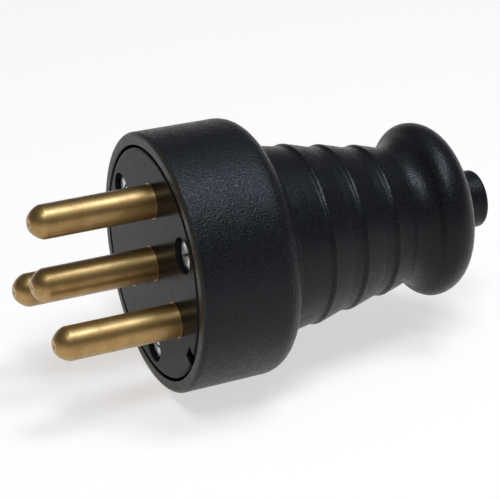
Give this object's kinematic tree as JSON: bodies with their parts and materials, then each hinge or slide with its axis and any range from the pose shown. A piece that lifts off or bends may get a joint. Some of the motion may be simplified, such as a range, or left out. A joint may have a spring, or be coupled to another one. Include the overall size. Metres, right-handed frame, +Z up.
{
  "type": "three-phase plug",
  "caption": "Straight three-phase plug: round brass pins in a black disc carrier, set in a soft black cover with a wide collar, banded tapering grip, finger flange and cable nozzle.",
  "frame": {"origin": "centre of the pin carrier's front face, where the earth pin leaves it", "axes": "+X along the plug from the front face to the cable nozzle, pins pointing along -X; +Z up through the upper phase pin; +Y across"},
  "size_m": [0.0935, 0.05, 0.05],
  "materials": {
    "soft_black": "fine sparkling grain, slight sheen",
    "black_insulator": "smooth moulded, half gloss",
    "grey_insulator": "plain moulded",
    "pin_brass": "turned, fine brushing along the pin",
    "insert_brass": "turned",
    "zinc_steel": "bright zinc plate",
    "terminal_steel": "plated"
  },
  "bodies": {
    "root": {"cover": "soft_black", "pin_carrier": "black_insulator", "terminal_block": "grey_insulator", "pin_earth": "pin_brass", "pin_phase_1": "pin_brass", "pin_phase_2": "pin_brass", "pin_phase_3": "pin_brass", "terminal_screw_earth": "terminal_steel", "terminal_screw_phase_1": "terminal_steel", "terminal_screw_phase_2": "terminal_steel", "terminal_screw_phase_3": "terminal_steel", "fixing_screw_1": "zinc_steel", "threaded_insert_1": "insert_brass", "fixing_screw_2": "zinc_steel", "threaded_insert_2": "insert_brass", "fixing_screw_3": "zinc_steel", "threaded_insert_3": "insert_brass", "cord_clamp": "grey_insulator", "clamp_screw_1": "terminal_steel", "clamp_screw_2": "terminal_steel"}
  },
  "joints": []
}
